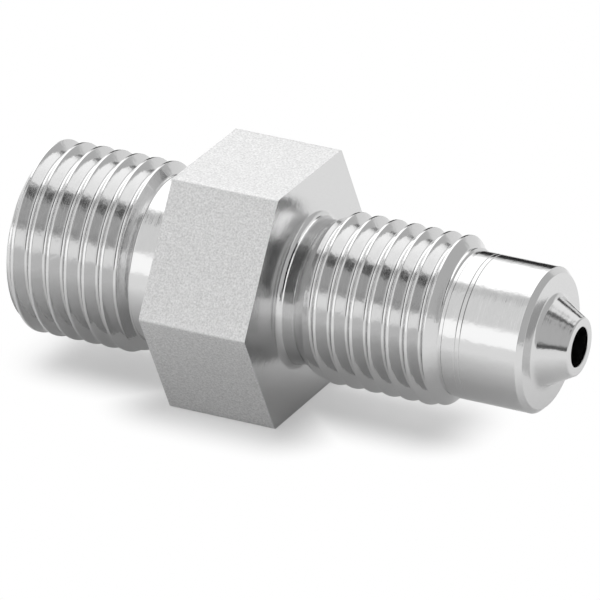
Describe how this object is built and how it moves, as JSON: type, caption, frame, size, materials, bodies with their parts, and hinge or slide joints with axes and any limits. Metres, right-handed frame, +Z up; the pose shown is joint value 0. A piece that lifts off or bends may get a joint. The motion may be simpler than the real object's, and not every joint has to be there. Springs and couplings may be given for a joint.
{
  "type": "adapter fitting",
  "caption": "Stainless steel tube adapter with a hexagon, a threaded stud on one side, and on the other a threaded coned nose with a plain shank and a through bore",
  "frame": {"origin": "under the middle of the overall length, on the plane of the hexagon's flat that the part rests on", "axes": "+X along the part's axis from the stud end to the coned nose, +Z up, square to the flat it rests on, +Y across to a corner of the hexagon"},
  "size_m": [0.0378, 0.0182, 0.0159],
  "materials": {
    "stainless_steel": "turned and bright on the threads, shank and cone, matt on the hexagon's flats"
  },
  "bodies": {
    "root": {"adapter_body": "stainless_steel"}
  },
  "joints": []
}
